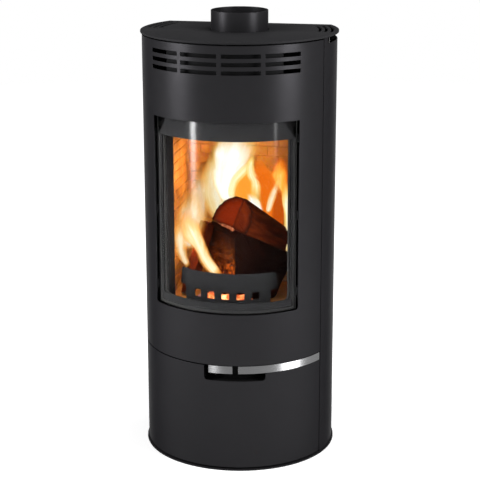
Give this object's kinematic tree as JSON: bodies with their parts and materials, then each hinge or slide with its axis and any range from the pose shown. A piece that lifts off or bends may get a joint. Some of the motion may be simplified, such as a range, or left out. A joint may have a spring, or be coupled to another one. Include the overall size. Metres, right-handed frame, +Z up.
{
  "type": "wood stove",
  "caption": "Free-standing round steel wood stove with a flat back: curved glass fire door, plain storage door below and a flue collar on top; it burns split logs.",
  "frame": {"origin": "on the floor, on the vertical axis of the round casing and of the flue collar", "axes": "+Z up, +X to the right and -Y to the front as one faces the stove"},
  "size_m": [0.518, 0.411, 1.183],
  "materials": {
    "casing_paint": "satin heat-proof paint",
    "inner_paint": "matt heat-proof paint",
    "polished_steel": "fine brushed",
    "zinc_plate": "zinc plated",
    "cast_iron": "as cast",
    "fire_brick": "matt pressed vermiculite",
    "glass_rope": "woven",
    "ceramic_glass": "clear",
    "firewood": "split, charred"
  },
  "bodies": {
    "casing": {"base_plate": "casing_paint", "right_side_shell": "casing_paint", "left_side_shell": "casing_paint", "back_panel": "casing_paint", "top_plate": "casing_paint", "flue_collar": "casing_paint", "right_door_post": "inner_paint", "left_door_post": "inner_paint", "louvre_baffle": "inner_paint", "firebox_front_frame": "inner_paint", "firebox_right_wall": "inner_paint", "firebox_left_wall": "inner_paint", "firebox_back_wall": "inner_paint", "firebox_top": "inner_paint", "hearth_plate": "inner_paint", "grate_shelf": "inner_paint", "right_brick_retainer": "inner_paint", "left_brick_retainer": "inner_paint", "log_guard": "inner_paint", "storage_ceiling": "inner_paint", "finger_trough": "inner_paint", "fuel_door_hinge_post": "inner_paint", "storage_door_hinge_post": "inner_paint", "rear_heat_shield": "zinc_plate", "air_duct": "zinc_plate", "air_intake_spigot": "zinc_plate", "fuel_door_hinge_rod": "zinc_plate", "storage_door_hinge_rod": "zinc_plate", "latch_keeper": "zinc_plate", "air_lever_pivot_bolt": "zinc_plate", "fire_grate": "cast_iron", "storage_door_magnet": "cast_iron", "floor_brick": "fire_brick", "right_fire_brick": "fire_brick", "left_fire_brick": "fire_brick", "back_fire_brick": "fire_brick", "baffle_plate": "fire_brick", "lower_log": "firewood", "upper_log": "firewood", "small_log": "firewood"},
    "fuel_door": {"fuel_door_skin": "casing_paint", "fuel_door_hinge_leaf": "inner_paint", "door_glass": "ceramic_glass", "glass_frame": "inner_paint", "glass_sealing_tape": "glass_rope", "right_glass_clamp": "zinc_plate", "left_glass_clamp": "zinc_plate", "fuel_door_rope_seal": "glass_rope", "latch_shaft_bearings": "inner_paint"},
    "door_handle": {"handle_bar": "polished_steel", "handle_arm": "inner_paint", "latch_shaft": "zinc_plate"},
    "storage_door": {"storage_door_skin": "casing_paint", "storage_door_hinge_leaf": "inner_paint"},
    "air_control": {"air_knob": "polished_steel", "air_lever": "zinc_plate", "air_damper": "zinc_plate"},
    "ash_pan": {"ash_pan": "zinc_plate"}
  },
  "joints": [
    {"name": "fuel_door_hinge", "type": "hinge", "parent": "casing", "child": "fuel_door", "pos_m": [-0.22055, -0.10897, 0], "axis": [0, 0, -1], "range_deg": [0, 100]},
    {"name": "door_handle_pivot", "type": "hinge", "parent": "fuel_door", "child": "door_handle", "pos_m": [0.21111, -0.1099, 0], "axis": [0, 0, 1], "range_deg": [0, 14], "stiffness_Nm_per_rad": 2, "springref_deg": -1.15},
    {"name": "storage_door_hinge", "type": "hinge", "parent": "casing", "child": "storage_door", "pos_m": [-0.22055, -0.10897, 0], "axis": [0, 0, -1], "range_deg": [0, 100]},
    {"name": "air_control_pivot", "type": "hinge", "parent": "casing", "child": "air_control", "pos_m": [0, 0, 0], "axis": [0, 0, 1], "range_deg": [-2.2, 2.2]},
    {"name": "ash_pan_slide", "type": "slide", "parent": "casing", "child": "ash_pan", "axis": [0, -1, 0], "range_m": [0, 0.044]}
  ]
}
